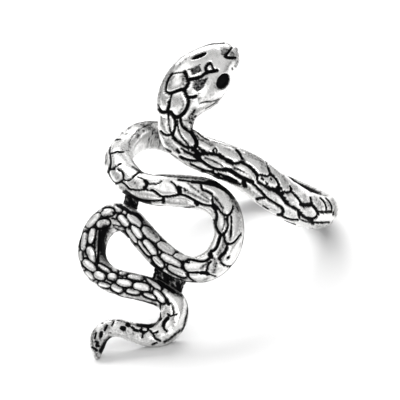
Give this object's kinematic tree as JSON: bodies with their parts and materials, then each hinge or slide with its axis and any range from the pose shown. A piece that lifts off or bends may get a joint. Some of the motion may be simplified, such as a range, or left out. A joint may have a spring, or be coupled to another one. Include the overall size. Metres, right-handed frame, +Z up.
{
  "type": "snake finger ring",
  "caption": "Finger ring cast as a scaled snake that winds round the finger, with a raised head, folds tied by small bridges and a curled tail.",
  "frame": {"origin": "the point of the floor below the middle of the ring's box, as the ring lies there by itself", "axes": "+Z up from the floor the ring lies on, -Y toward the viewer who sees the snake's front, +X to that viewer's right"},
  "size_m": [0.0252, 0.0262, 0.0226],
  "materials": {
    "silver": "antiqued"
  },
  "bodies": {
    "root": {"snake_ring": "silver"}
  },
  "joints": []
}
